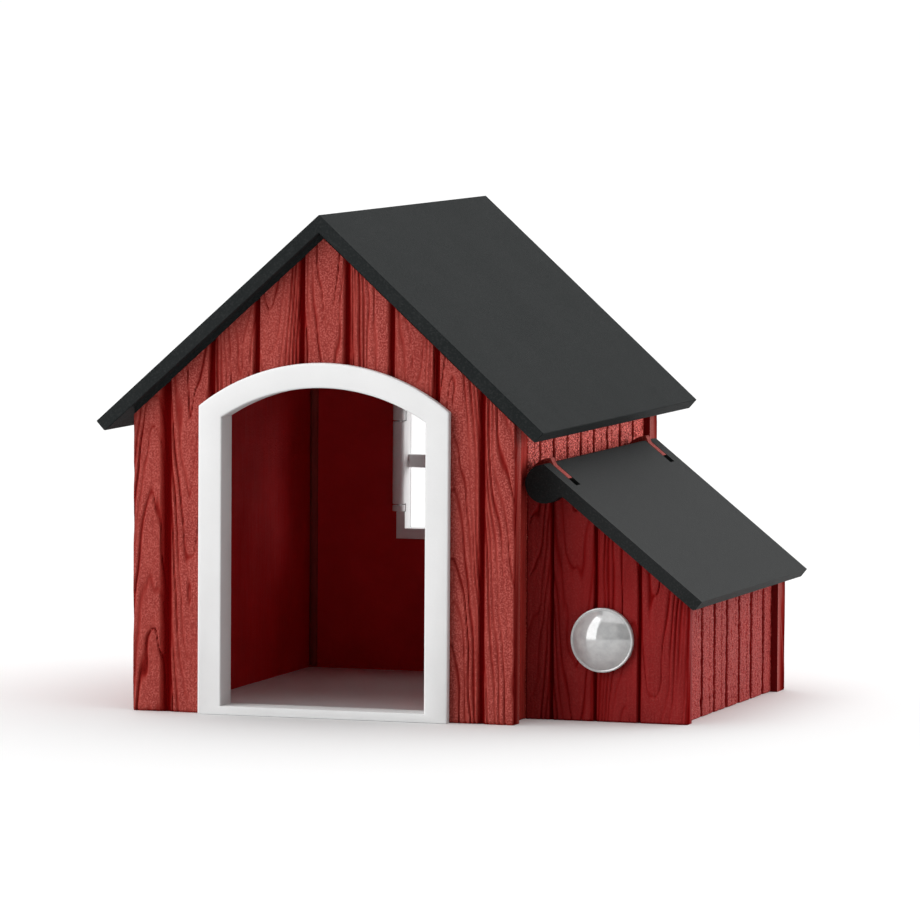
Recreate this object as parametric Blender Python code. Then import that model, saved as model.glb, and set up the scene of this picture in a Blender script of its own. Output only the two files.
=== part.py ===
"""Toy-size animal hut: a planked gable house, a lean-to store under a hinged lid, and a rear window that swings.

House coordinates: X to the right, Y to the back, Z up, from the house's front left corner at ground level.
Every object hangs from one empty, which moves the middle of the whole footprint to the world origin.
"""

import math

import bmesh
import bpy
from mathutils import Vector

MM = 0.001
GAP = 0.3 * MM  # room left between neighbouring mouldings

# The house: two gable walls over the full width, and two side walls set back between their edges
HOUSE_WIDTH = 85.0 * MM
HOUSE_DEPTH = 107.4 * MM
FRONT_THICKNESS = 4.4 * MM
BACK_THICKNESS = 6.0 * MM
SIDE_THICKNESS = 4.2 * MM
SIDE_RECESS = 1.3 * MM
MIDDLE = HOUSE_WIDTH / 2
INNER_BACK = HOUSE_DEPTH - BACK_THICKNESS

# The roof: one folded slab
ROOF_PITCH = math.radians(42.0)
RIDGE_HEIGHT = 106.6 * MM
ROOF_THICKNESS = 2.85 * MM
ROOF_SEAT = 0.95 * MM  # extra thickness where the slab sits on the gable walls
ROOF_BITE = 0.5 * MM  # how far a seat runs into the slab
SEAT_INSET = 0.2 * MM  # how far a seat stops short of the wall's faces
EAVE = 7.2 * MM
FRONT_OVERHANG = 3.2 * MM
BACK_OVERHANG = 6.6 * MM
EDGE_CHAMFER = 0.25 * MM

# Grooves between the moulded planks
PLANK = 10.0 * MM
GROOVE_WIDTH = 1.2 * MM
GROOVE_DEPTH = 0.6 * MM

# The door frame: a flange on the wall and a sleeve through it, both with an arched head
DOOR_PROUD = 1.9 * MM
DOOR_DEPTH = 5.1 * MM
DOOR_MIDDLE = MIDDLE + 0.68 * MM
DOOR_FLANGE = {"half": 27.85 * MM, "spring": 65.6 * MM, "apex": 75.3 * MM, "bottom": 0.0}
DOOR_SLEEVE = {"half": 24.05 * MM, "spring": 64.1 * MM, "apex": 71.4 * MM, "bottom": 0.4 * MM}
DOOR_INSIDE = {"half": 22.65 * MM, "spring": 63.3 * MM, "apex": 70.0 * MM, "bottom": 1.9 * MM}
ARCH_STEPS = 20

# The rear window: half width and half height of each outline around its middle
WINDOW_MIDDLE = 47.15 * MM
WINDOW_TRIM = (19.2 * MM, 20.35 * MM)
WINDOW_SLEEVE = (16.2 * MM, 17.35 * MM)
WINDOW_REBATE = (15.5 * MM, 16.35 * MM)
WINDOW_STOP = (14.3 * MM, 15.15 * MM)
WINDOW_FLARE = (15.1 * MM, 15.95 * MM)  # the opening widens to this at the outer face
TRIM_THICKNESS = 1.3 * MM
STOP_FRONT = INNER_BACK + 3.0 * MM
SASH_LIP = (16.2 * MM, 17.35 * MM)
SASH_BODY = (15.2 * MM, 16.05 * MM)
SASH_FREE_EDGE = 14.9 * MM  # shorter than the hinge side, so that the free edge swings past the rebate
SASH_OPENING = (14.2 * MM, 15.05 * MM)
SASH_LIP_THICKNESS = 0.9 * MM
SASH_DEPTH = 3.0 * MM
GLAZING_BAR = 2.9 * MM
GLAZING_BAR_FRONT = INNER_BACK + 1.2 * MM
GLAZING_BAR_BACK = INNER_BACK + 2.4 * MM

# The window's hinge: a barrel on the sash between two eyes on the frame, on one upright pin
WINDOW_AXIS = Vector((27.2 * MM, 99.1 * MM, 0.0))
KNUCKLE_RADIUS = 1.4 * MM
KNUCKLE_BORE = 0.7 * MM
WINDOW_PIN_RADIUS = 0.4 * MM
LOWER_EYE = (36.1 * MM, 37.4 * MM)
BARREL = (37.7 * MM, 56.2 * MM)
UPPER_EYE = (56.5 * MM, 60.2 * MM)
WINDOW_PIN = (36.0 * MM, 60.4 * MM)

# The lean-to store
STORE_FRONT = 13.6 * MM
STORE_BACK = 92.3 * MM
STORE_RIGHT = 119.0 * MM
STORE_FRONT_THICKNESS = 3.8 * MM
STORE_BACK_THICKNESS = 6.4 * MM
STORE_SIDE_THICKNESS = 4.0 * MM
STORE_PLANK = 9.8 * MM
STORE_FRONT_PLANK = 9.7 * MM
STORE_FRONT_GROOVE = STORE_RIGHT - 29.9 * MM  # the first groove of the store's front
STORE_FLOOR = (0.8 * MM, 2.6 * MM)
STORE_HOLLOW = 5.0 * MM  # radius of the hollow in its end walls that the lid's barrel turns in
STORE_TOP = 0.12 * MM  # the walls' top in the lid's level profile

# The store's lid: a slab that grows out of a hinge barrel. Its profile is drawn as if the slab lay level.
LID_AXIS = Vector((88.2 * MM, 0.0, 50.2 * MM))
LID_SLOPE = math.radians(38.67)
LID_BARREL_RADIUS = 4.14 * MM
LID_TOP = 3.17 * MM
LID_UNDERSIDE = 0.52 * MM
LID_LENGTH = 42.0 * MM
LID_FILLET = 1.2 * MM
LID_FRONT = 10.45 * MM
LID_BACK = 95.45 * MM
LID_CHAMFER = 0.5 * MM

# The hooks on the house wall that hold the lid by its journals
HOOK_WIDTH = 2.5 * MM
HOOK_MIDDLES = {"front": 17.0 * MM, "back": 88.9 * MM}
JOURNAL_RADIUS = 1.8 * MM
SLOT_RADIUS = 5.7 * MM
HOOK_BORE = JOURNAL_RADIUS + GAP
HOOK_OUTSIDE = 5.15 * MM
HOOK_LOWER_OUTSIDE = 3.9 * MM
HOOK_TIP = 2.45 * MM
HOOK_SHOULDER = -1.9 * MM
TANG_HALF_HEIGHT = 1.4 * MM
TANG_LENGTH = 3.2 * MM

# The porthole: a domed lens with a spigot through the store's front, held by a push-on ring
PORTHOLE = (100.5 * MM, 17.4 * MM)
LENS_RADIUS = 6.85 * MM
LENS_RISE = 2.8 * MM
LENS_FLANGE = 0.9 * MM
SPIGOT_RADIUS = 5.5 * MM
RETAINER_RADIUS = 7.6 * MM
RETAINER_THICKNESS = 1.2 * MM

# The ribs under the ridge that screw to the gables
RIB_HALF_WIDTH = 14.0 * MM
RIB_BOTTOM = 84.0 * MM
RIB_THICKNESS = 2.0 * MM
SCREW_SPACING = 8.0 * MM
SCREW_HEIGHT = 88.0 * MM
SCREW_SHANK = 0.6 * MM
SCREW_HEAD = 1.5 * MM
SCREW_HEAD_HEIGHT = 1.0 * MM
SCREW_GRIP = 2.6 * MM

ROUND_STEPS = 32
OVERRUN = 2.0 * MM  # how far a cutter passes the face that it opens

RED = {"colour": (0.27, 0.040, 0.030), "roughness": 0.60}
BLACK = {"colour": (0.045, 0.045, 0.047), "roughness": 0.55}
WHITE = {"colour": (0.80, 0.80, 0.79), "roughness": 0.45}
MILKY = {"colour": (0.62, 0.62, 0.61), "roughness": 0.12}
STEEL = {"colour": (0.50, 0.50, 0.52), "roughness": 0.35, "metallic": 1.0}


def clear_scene():
    for old in list(bpy.data.objects):
        bpy.data.objects.remove(old, do_unlink=True)


def make_material(name, finish):
    material = bpy.data.materials.new(name)
    material.use_nodes = True
    shader = material.node_tree.nodes["Principled BSDF"]
    shader.inputs["Base Color"].default_value = (*finish["colour"], 1.0)
    shader.inputs["Roughness"].default_value = finish["roughness"]
    shader.inputs["Metallic"].default_value = finish.get("metallic", 0.0)
    return material


def add_object(name, shape, origin=Vector()):
    """Turns a bmesh in house coordinates into an object whose origin is at the given point."""
    bmesh.ops.recalc_face_normals(shape, faces=shape.faces)
    bmesh.ops.translate(shape, verts=shape.verts, vec=-origin)
    mesh = bpy.data.meshes.new(name)
    shape.to_mesh(mesh)
    shape.free()
    item = bpy.data.objects.new(name, mesh)
    item.location = origin
    item.parent = house_frame
    bpy.context.collection.objects.link(item)
    return item


def add_part(name, shape, finish, origin=Vector(), smooth=False):
    part = add_object(name, shape, origin)
    part.data.materials.append(make_material(name, finish))
    if smooth:
        part.data.shade_smooth()
        part.data.set_sharp_from_angle(angle=math.radians(30.0))
    return part


def combine(part, operation, name, shape):
    """Adds or takes away a shape with a Boolean modifier and a hidden tool object."""
    tool = add_object(f"{part.name}_{name}_tool", shape)
    tool.hide_render = True
    tool.display_type = "WIRE"
    modifier = part.modifiers.new(name, "BOOLEAN")
    modifier.operation = operation
    modifier.solver = "EXACT"
    modifier.object = tool


def point_on(axis, flat, along):
    """A point of an outline drawn across the given axis, at a place along that axis."""
    if axis == "X":
        return Vector((along, flat[0], flat[1]))
    if axis == "Y":
        return Vector((flat[0], along, flat[1]))
    return Vector((flat[0], flat[1], along))


def join_rings(shape, rings):
    """Faces between each ring of vertices and the next."""
    for near, far in zip(rings, rings[1:]):
        for place in range(len(near)):
            following = (place + 1) % len(near)
            shape.faces.new((near[place], near[following], far[following], far[place]))


def prism(outline, axis, low, high):
    shape = bmesh.new()
    rings = [[shape.verts.new(point_on(axis, flat, along)) for flat in outline] for along in (low, high)]
    join_rings(shape, rings)
    shape.faces.new(rings[0])
    shape.faces.new(rings[1])
    return shape


def prisms(outlines, axis, low, high):
    """Several separate prisms in one bmesh, for a cutter."""
    shape = bmesh.new()
    for outline in outlines:
        rings = [[shape.verts.new(point_on(axis, flat, along)) for flat in outline] for along in (low, high)]
        join_rings(shape, rings)
        shape.faces.new(rings[0])
        shape.faces.new(rings[1])
    return shape


def box(low, high):
    return prism(rectangle(low[0], high[0], low[1], high[1]), "Z", low[2], high[2])


def frame_shape(loops):
    """A closed frame whose cross-section runs through the given loops and back to the first."""
    shape = bmesh.new()
    rings = [[shape.verts.new(point) for point in loop] for loop in loops]
    join_rings(shape, rings + rings[:1])
    return shape


def rectangle(left, right, low, high):
    return [(left, low), (right, low), (right, high), (left, high)]


def arc(centre, radius, start, end, steps):
    """Points on an arc, with its angles in radians."""
    turns = [start + (end - start) * step / steps for step in range(steps + 1)]
    return [(centre[0] + radius * math.cos(turn), centre[1] + radius * math.sin(turn)) for turn in turns]


def circle(centre, radius, steps=ROUND_STEPS):
    return arc(centre, radius, 0.0, 2.0 * math.pi, steps)[:-1]


def rod(centre, radius, axis, low, high, steps=ROUND_STEPS):
    return prism(circle(centre, radius, steps), axis, low, high)


def below_roof(x, depth):
    """Height at a depth below the roof's upper face, measured square to that face."""
    return RIDGE_HEIGHT - abs(x - MIDDLE) * math.tan(ROOF_PITCH) - depth / math.cos(ROOF_PITCH)


def wall_top(x, seat=0.0):
    """Height at which a wall stops under the roof, or under a seat of the roof."""
    return below_roof(x, ROOF_THICKNESS + seat) - GAP


def gable_outline(left, right, seat=0.0):
    outline = [(left, 0.0), (right, 0.0), (right, wall_top(right, seat))]
    if left < MIDDLE < right:
        outline.append((MIDDLE, wall_top(MIDDLE, seat)))
    outline.append((left, wall_top(left, seat)))
    return outline


def arch_outline(size, margin=0.0):
    """A doorway: straight sides under a shallow arch."""
    half = size["half"] + margin
    spring = size["spring"] + margin
    apex = size["apex"] + margin
    rise = apex - spring
    radius = (half**2 + rise**2) / (2.0 * rise)
    reach = math.asin(half / radius)
    head = arc((DOOR_MIDDLE, apex - radius), radius, math.pi / 2 - reach, math.pi / 2 + reach, ARCH_STEPS)
    bottom = size["bottom"]
    return [(DOOR_MIDDLE - half, bottom), (DOOR_MIDDLE + half, bottom)] + head


def window_outline(size, right=None):
    right = size[0] if right is None else right
    return rectangle(MIDDLE - size[0], MIDDLE + right, WINDOW_MIDDLE - size[1], WINDOW_MIDDLE + size[1])


def add_grooves(part, places, face, axis, high):
    """Upright V grooves at the given places on a face that looks along X or Y."""
    half = GROOVE_WIDTH / 2
    outlines = []
    for place in places:
        across = [(place - half, face), (place, face + GROOVE_DEPTH), (place + half, face)]
        across += [(place + half, face - OVERRUN), (place - half, face - OVERRUN)]
        if face > PLANK:  # a back or right face, which is cut from its other side
            across = [(along, 2 * face - depth) for along, depth in across]
        if axis == "X":
            across = [(depth, along) for along, depth in across]
        outlines.append(across)
    combine(part, "DIFFERENCE", "grooves", prisms(outlines, "Z", -OVERRUN, high))


def spread(first, pitch, count):
    return [first + pitch * step for step in range(count)]


def add_gable_walls():
    grooves = spread(MIDDLE - 3.5 * PLANK, PLANK, 8)
    outline = gable_outline(0.0, HOUSE_WIDTH, ROOF_SEAT)
    front = add_part("front_wall", prism(outline, "Y", 0.0, FRONT_THICKNESS), RED)
    opening = arch_outline({**DOOR_SLEEVE, "bottom": -OVERRUN}, GAP)
    combine(front, "DIFFERENCE", "doorway", prism(opening, "Y", -OVERRUN, FRONT_THICKNESS + OVERRUN))
    add_grooves(front, grooves, 0.0, "Y", RIDGE_HEIGHT)
    screw_end = FRONT_THICKNESS - SCREW_GRIP - GAP
    combine(front, "DIFFERENCE", "pilots", screw_holes(screw_end, FRONT_THICKNESS + OVERRUN))

    back = add_part("back_wall", prism(outline, "Y", INNER_BACK, HOUSE_DEPTH), RED)
    window = window_outline((WINDOW_SLEEVE[0] + GAP, WINDOW_SLEEVE[1] + GAP))
    combine(back, "DIFFERENCE", "window", prism(window, "Y", INNER_BACK - OVERRUN, HOUSE_DEPTH + OVERRUN))
    add_grooves(back, grooves, HOUSE_DEPTH, "Y", RIDGE_HEIGHT)
    screw_end = INNER_BACK + SCREW_GRIP + GAP
    combine(back, "DIFFERENCE", "pilots", screw_holes(INNER_BACK - OVERRUN, screw_end))


def add_side_walls():
    low = FRONT_THICKNESS + GAP
    high = INNER_BACK - GAP
    grooves = spread(13.1 * MM, 0.995 * PLANK, 9)
    left = add_part(
        "left_wall", prism(gable_outline(SIDE_RECESS, SIDE_RECESS + SIDE_THICKNESS), "Y", low, high), RED
    )
    add_grooves(left, grooves, SIDE_RECESS, "X", RIDGE_HEIGHT)
    face = HOUSE_WIDTH - SIDE_RECESS
    right = add_part("right_wall", prism(gable_outline(face - SIDE_THICKNESS, face), "Y", low, high), RED)
    add_grooves(right, grooves, face, "X", RIDGE_HEIGHT)
    pocket = TANG_HALF_HEIGHT + GAP
    outline = rectangle(face - TANG_LENGTH - GAP, face + OVERRUN, LID_AXIS.z - pocket, LID_AXIS.z + pocket)
    for place, middle in HOOK_MIDDLES.items():
        reach = HOOK_WIDTH / 2 + GAP
        combine(right, "DIFFERENCE", f"{place}_pocket", prism(outline, "Y", middle - reach, middle + reach))


def add_roof():
    """Two slopes, square to their ends with the lower corner taken off, and a seat on each gable wall."""
    fall = Vector((math.cos(ROOF_PITCH), -math.sin(ROOF_PITCH)))
    normal = Vector((math.sin(ROOF_PITCH), math.cos(ROOF_PITCH)))
    tip = Vector((HOUSE_WIDTH + EAVE, RIDGE_HEIGHT - (MIDDLE + EAVE) * math.tan(ROOF_PITCH)))
    right = [tip, tip - normal * (ROOF_THICKNESS - EDGE_CHAMFER)]
    right.append(tip - normal * ROOF_THICKNESS - fall * EDGE_CHAMFER)
    left = [Vector((HOUSE_WIDTH - point.x, point.y)) for point in reversed(right)]
    under_ridge = (MIDDLE, below_roof(MIDDLE, ROOF_THICKNESS))
    outline = [(MIDDLE, RIDGE_HEIGHT)] + [tuple(point) for point in right] + [under_ridge]
    outline += [tuple(point) for point in left]
    roof = add_part("roof", prism(outline, "Y", -FRONT_OVERHANG, HOUSE_DEPTH + BACK_OVERHANG), BLACK)
    ends = (SEAT_INSET, MIDDLE, HOUSE_WIDTH - SEAT_INSET)
    seat = [(x, below_roof(x, ROOF_THICKNESS - ROOF_BITE)) for x in ends]
    seat += [(x, below_roof(x, ROOF_THICKNESS + ROOF_SEAT)) for x in reversed(ends)]
    combine(roof, "UNION", "front_seat", prism(seat, "Y", SEAT_INSET, FRONT_THICKNESS - SEAT_INSET))
    combine(roof, "UNION", "back_seat", prism(seat, "Y", INNER_BACK + SEAT_INSET, HOUSE_DEPTH - SEAT_INSET))


def screw_places():
    return [(MIDDLE - SCREW_SPACING, SCREW_HEIGHT), (MIDDLE + SCREW_SPACING, SCREW_HEIGHT)]


def screw_holes(low, high):
    return prisms([circle(place, SCREW_SHANK + GAP, 16) for place in screw_places()], "Y", low, high)


def add_roof_ribs():
    """A rib behind each gable, and the screws through it. Each screw's head is on the cabin's side."""
    outline = [(MIDDLE - RIB_HALF_WIDTH, RIB_BOTTOM), (MIDDLE + RIB_HALF_WIDTH, RIB_BOTTOM)]
    outline += gable_outline(MIDDLE - RIB_HALF_WIDTH, MIDDLE + RIB_HALF_WIDTH)[2:]
    for place, wall_face, inwards in (("front", FRONT_THICKNESS, 1.0), ("back", INNER_BACK, -1.0)):
        near = wall_face + inwards * GAP
        far = near + inwards * RIB_THICKNESS
        rib = add_part(f"roof_rib_{place}", prism(outline, "Y", min(near, far), max(near, far)), BLACK)
        holes = screw_holes(min(near, far) - OVERRUN, max(near, far) + OVERRUN)
        combine(rib, "DIFFERENCE", "holes", holes)
        seat = far + inwards * GAP
        for side, middle in zip(("left", "right"), screw_places()):
            stations = [
                (seat + inwards * SCREW_HEAD_HEIGHT, SCREW_HEAD * 0.7),
                (seat + inwards * SCREW_HEAD_HEIGHT * 0.6, SCREW_HEAD),
                (seat, SCREW_HEAD),
                (seat, SCREW_SHANK),
                (wall_face - inwards * SCREW_GRIP, SCREW_SHANK),
            ]
            add_part(f"roof_screw_{place}_{side}", turned(middle, stations, 16), STEEL, smooth=True)


def turned(middle, stations, steps=ROUND_STEPS):
    """A body turned about a line along Y, through (y, radius) stations, with flat ends."""
    shape = bmesh.new()
    rings = []
    for y, radius in stations:
        rings.append([shape.verts.new(point_on("Y", flat, y)) for flat in circle(middle, radius, steps)])
    join_rings(shape, rings)
    shape.faces.new(rings[0])
    shape.faces.new(rings[-1])
    return shape


def add_door_frame():
    stations = [
        (DOOR_FLANGE, -DOOR_PROUD),
        (DOOR_FLANGE, -GAP),
        (DOOR_SLEEVE, -GAP),
        (DOOR_SLEEVE, DOOR_DEPTH),
        (DOOR_INSIDE, DOOR_DEPTH),
        (DOOR_INSIDE, -DOOR_PROUD),
    ]
    loops = [[point_on("Y", flat, y) for flat in arch_outline(size)] for size, y in stations]
    add_part("door_frame", frame_shape(loops), WHITE)


def add_window_frame():
    """Trim outside, a sleeve through the wall, a stop for the sash, and the two eyes of the hinge."""
    trim_face = HOUSE_DEPTH + GAP + TRIM_THICKNESS
    stations = [
        (WINDOW_SLEEVE, INNER_BACK),
        (WINDOW_SLEEVE, HOUSE_DEPTH + GAP),
        (WINDOW_TRIM, HOUSE_DEPTH + GAP),
        (WINDOW_TRIM, trim_face),
        (WINDOW_FLARE, trim_face),
        (WINDOW_STOP, STOP_FRONT + GAP),
        (WINDOW_REBATE, STOP_FRONT + GAP),
        (WINDOW_REBATE, INNER_BACK),
    ]
    loops = [[point_on("Y", flat, y) for flat in window_outline(size)] for size, y in stations]
    frame = add_part("window_frame", frame_shape(loops), WHITE)
    skin = 0.05 * MM
    left = MIDDLE - WINDOW_SLEEVE[0] + skin
    right = MIDDLE - WINDOW_REBATE[0] - skin
    for place, (low, high) in (("lower", LOWER_EYE), ("upper", UPPER_EYE)):
        lug = box((left, WINDOW_AXIS.y, low + skin), (right, INNER_BACK + 1.0 * MM, high - skin))
        combine(frame, "UNION", f"{place}_lug", lug)
        eye = rod(WINDOW_AXIS.xy, KNUCKLE_RADIUS, "Z", low, high, 24)
        combine(frame, "UNION", f"{place}_eye", eye)
        bore = rod(WINDOW_AXIS.xy, KNUCKLE_BORE, "Z", low - OVERRUN, high + OVERRUN, 16)
        combine(frame, "DIFFERENCE", f"{place}_bore", bore)
    pin = rod(WINDOW_AXIS.xy, WINDOW_PIN_RADIUS, "Z", *WINDOW_PIN, 16)
    add_part("window_pin", pin, STEEL, origin=WINDOW_AXIS, smooth=True)


def add_window_sash():
    """A lip that shuts against the frame, a body inside the rebate, a glazing cross and the barrel."""
    lip_front = INNER_BACK - GAP - SASH_LIP_THICKNESS
    lip_back = INNER_BACK - GAP
    body_back = INNER_BACK - GAP + SASH_DEPTH
    outlines = [
        (window_outline(SASH_LIP), lip_front),
        (window_outline(SASH_LIP), lip_back),
        (window_outline(SASH_BODY, SASH_FREE_EDGE), lip_back),
        (window_outline(SASH_BODY, SASH_FREE_EDGE), body_back),
        (window_outline(SASH_OPENING), body_back),
        (window_outline(SASH_OPENING), lip_front),
    ]
    loops = [[point_on("Y", flat, y) for flat in outline] for outline, y in outlines]
    sash = add_part("window_sash", frame_shape(loops), WHITE, origin=WINDOW_AXIS)
    half = GLAZING_BAR / 2
    bite = 0.4 * MM
    wide = SASH_OPENING[0] + bite
    tall = SASH_OPENING[1] + bite
    corner = [(half, half), (half, tall), (-half, tall), (-half, half), (-wide, half), (-wide, -half)]
    corner += [(-x, -z) for x, z in corner]
    cross = [(MIDDLE + x, WINDOW_MIDDLE + z) for x, z in corner]
    combine(sash, "UNION", "cross", prism(cross, "Y", GLAZING_BAR_FRONT, GLAZING_BAR_BACK))
    combine(sash, "UNION", "barrel", rod(WINDOW_AXIS.xy, KNUCKLE_RADIUS, "Z", *BARREL, 24))
    for place, (low, high) in (("lower", LOWER_EYE), ("upper", UPPER_EYE)):
        near = (MIDDLE - SASH_LIP[0] - OVERRUN, lip_front - OVERRUN, low - GAP)
        far = (WINDOW_AXIS.x + KNUCKLE_RADIUS + GAP, lip_back + 0.02 * MM, high + GAP)
        combine(sash, "DIFFERENCE", f"{place}_notch", box(near, far))
    bore = rod(WINDOW_AXIS.xy, KNUCKLE_BORE, "Z", LOWER_EYE[0], UPPER_EYE[1], 16)
    combine(sash, "DIFFERENCE", "bore", bore)


def lid_point(along, above):
    """A point of the lid's level profile, turned to the lid's slope and placed on its hinge."""
    x = LID_AXIS.x + along * math.cos(LID_SLOPE) + above * math.sin(LID_SLOPE)
    z = LID_AXIS.z - along * math.sin(LID_SLOPE) + above * math.cos(LID_SLOPE)
    return (x, z)


def add_lid():
    """The slab's top meets the barrel at a corner, and a fillet joins its underside to the barrel."""
    above = LID_UNDERSIDE - LID_FILLET
    along = math.sqrt((LID_BARREL_RADIUS + LID_FILLET) ** 2 - above**2)
    tangent = math.atan2(above, along)
    top_turn = math.pi - math.asin(LID_TOP / LID_BARREL_RADIUS)
    level = [(LID_LENGTH, LID_TOP), (LID_LENGTH, LID_UNDERSIDE + LID_CHAMFER)]
    level.append((LID_LENGTH - LID_CHAMFER, LID_UNDERSIDE))
    level += arc((along, above), LID_FILLET, math.pi / 2, math.pi + tangent, 6)
    level += arc((0.0, 0.0), LID_BARREL_RADIUS, tangent, top_turn - 2.0 * math.pi, 18)[1:]
    outline = [lid_point(*point) for point in level]
    lid = add_part("store_lid", prism(outline, "Y", LID_FRONT, LID_BACK), BLACK, origin=LID_AXIS, smooth=True)
    axis = (LID_AXIS.x, LID_AXIS.z)
    for place, middle in HOOK_MIDDLES.items():
        low = middle - HOOK_WIDTH / 2 - GAP
        high = middle + HOOK_WIDTH / 2 + GAP
        rings = [
            [point_on("Y", flat, y) for flat in circle(axis, radius)]
            for radius, y in ((SLOT_RADIUS, low), (SLOT_RADIUS, high), (JOURNAL_RADIUS, high), (JOURNAL_RADIUS, low))
        ]
        combine(lid, "DIFFERENCE", f"{place}_slot", frame_shape(rings))


def add_lid_hooks():
    """C hooks over the journals. The tip lies flush in the lid's slot, and the tang sits in the house wall."""
    wall = HOUSE_WIDTH - SIDE_RECESS + GAP - LID_AXIS.x
    shoulder = math.atan2(math.sqrt(HOOK_OUTSIDE**2 - wall**2), wall)
    tip = Vector(lid_point(HOOK_TIP, LID_TOP)) - LID_AXIS.xz
    tip_turn = math.atan2(tip.y, tip.x)
    crest = Vector(lid_point(HOOK_SHOULDER, LID_TOP)) - LID_AXIS.xz
    foot_turn = math.radians(260.0)
    outline = [tuple(tip)] + arc((0.0, 0.0), HOOK_BORE, tip_turn, foot_turn, 20)
    outline += arc((0.0, 0.0), HOOK_LOWER_OUTSIDE, foot_turn, math.radians(207.0), 5)
    foot = outline[-1][1]
    tang = wall - TANG_LENGTH
    outline += [(wall, foot), (wall, -TANG_HALF_HEIGHT), (tang, -TANG_HALF_HEIGHT)]
    outline += [(tang, TANG_HALF_HEIGHT), (wall, TANG_HALF_HEIGHT)]
    outline += arc((0.0, 0.0), HOOK_OUTSIDE, shoulder, math.radians(92.0), 8)
    outline.append(tuple(crest))
    placed = [(LID_AXIS.x + x, LID_AXIS.z + z) for x, z in outline]
    for place, middle in HOOK_MIDDLES.items():
        shape = prism(placed, "Y", middle - HOOK_WIDTH / 2, middle + HOOK_WIDTH / 2)
        add_part(f"lid_hook_{place}", shape, RED)


def store_top(x):
    """Height of the store's walls under the lid's slab."""
    return LID_AXIS.z + (STORE_TOP - (x - LID_AXIS.x) * math.sin(LID_SLOPE)) / math.cos(LID_SLOPE)


def store_end_outline():
    """An end wall: it follows the lid's underside and passes below the hinge barrel to the house wall."""
    left = HOUSE_WIDTH - SIDE_RECESS + GAP
    start = math.asin(STORE_TOP / STORE_HOLLOW) - LID_SLOPE
    end = math.acos((LID_AXIS.x - left) / STORE_HOLLOW) - math.pi
    hollow = arc((LID_AXIS.x, LID_AXIS.z), STORE_HOLLOW, start, end, 14)
    return [(left, 0.0), (STORE_RIGHT, 0.0), (STORE_RIGHT, store_top(STORE_RIGHT))] + hollow


def add_store():
    outline = store_end_outline()
    grooves = spread(STORE_FRONT_GROOVE, STORE_FRONT_PLANK, 3)
    inner_front = STORE_FRONT + STORE_FRONT_THICKNESS
    front = add_part("store_front_wall", prism(outline, "Y", STORE_FRONT, inner_front), RED)
    bore = rod(PORTHOLE, SPIGOT_RADIUS + GAP, "Y", STORE_FRONT - OVERRUN, inner_front + OVERRUN)
    combine(front, "DIFFERENCE", "porthole", bore)
    front_grooves = [
        [(x - GROOVE_WIDTH / 2, STORE_FRONT - OVERRUN), (x - GROOVE_WIDTH / 2, STORE_FRONT)]
        + [(x, STORE_FRONT + GROOVE_DEPTH), (x + GROOVE_WIDTH / 2, STORE_FRONT)]
        + [(x + GROOVE_WIDTH / 2, STORE_FRONT - OVERRUN)]
        for x in grooves
    ]
    combine(front, "DIFFERENCE", "grooves", prisms(front_grooves, "Z", -OVERRUN, LID_AXIS.z))

    inner_back = STORE_BACK - STORE_BACK_THICKNESS
    back = add_part("store_back_wall", prism(outline, "Y", inner_back, STORE_BACK), RED)
    add_grooves(back, grooves, STORE_BACK, "Y", LID_AXIS.z)

    face = STORE_RIGHT - SIDE_RECESS
    inside = face - STORE_SIDE_THICKNESS
    side_outline = [(inside, 0.0), (face, 0.0), (face, store_top(face)), (inside, store_top(inside))]
    side = add_part("store_side_wall", prism(side_outline, "Y", inner_front + GAP, inner_back - GAP), RED)
    add_grooves(side, spread(STORE_FRONT + 6.9 * MM, STORE_PLANK, 7), face, "X", LID_AXIS.z)

    low = (HOUSE_WIDTH - SIDE_RECESS + GAP, inner_front + GAP, STORE_FLOOR[0])
    high = (inside - GAP, inner_back - GAP, STORE_FLOOR[1])
    add_part("store_floor", box(low, high), RED)


def add_porthole():
    rim = STORE_FRONT - GAP - LENS_FLANGE
    sphere = (LENS_RADIUS**2 + LENS_RISE**2) / (2.0 * LENS_RISE)
    reach = math.asin(LENS_RADIUS / sphere)
    steps = 8
    dome = []
    for step in range(1, steps + 1):
        turn = reach * step / steps
        dome.append((rim - LENS_RISE + sphere * (1.0 - math.cos(turn)), sphere * math.sin(turn)))
    back = STORE_FRONT + STORE_FRONT_THICKNESS + GAP + RETAINER_THICKNESS + GAP
    stations = dome + [(rim + LENS_FLANGE, LENS_RADIUS), (rim + LENS_FLANGE, SPIGOT_RADIUS), (back, SPIGOT_RADIUS)]
    add_part("porthole_lens", turned(PORTHOLE, stations), MILKY, smooth=True)
    near = STORE_FRONT + STORE_FRONT_THICKNESS + GAP
    stations = [(RETAINER_RADIUS, near), (RETAINER_RADIUS, near + RETAINER_THICKNESS)]
    stations += [(SPIGOT_RADIUS + GAP, near + RETAINER_THICKNESS), (SPIGOT_RADIUS + GAP, near)]
    loops = [[point_on("Y", flat, y) for flat in circle(PORTHOLE, radius)] for radius, y in stations]
    add_part("porthole_retainer", frame_shape(loops), BLACK, smooth=True)


clear_scene()
house_frame = bpy.data.objects.new("house_frame", None)
bpy.context.collection.objects.link(house_frame)
lid_tip = lid_point(LID_LENGTH, LID_TOP)[0]
house_frame.location.x = -(lid_tip - EAVE) / 2
house_frame.location.y = -(HOUSE_DEPTH + BACK_OVERHANG - FRONT_OVERHANG) / 2

add_gable_walls()
add_side_walls()
add_roof()
add_roof_ribs()
add_door_frame()
add_window_frame()
add_window_sash()
add_store()
add_porthole()
add_lid_hooks()
add_lid()
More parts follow.
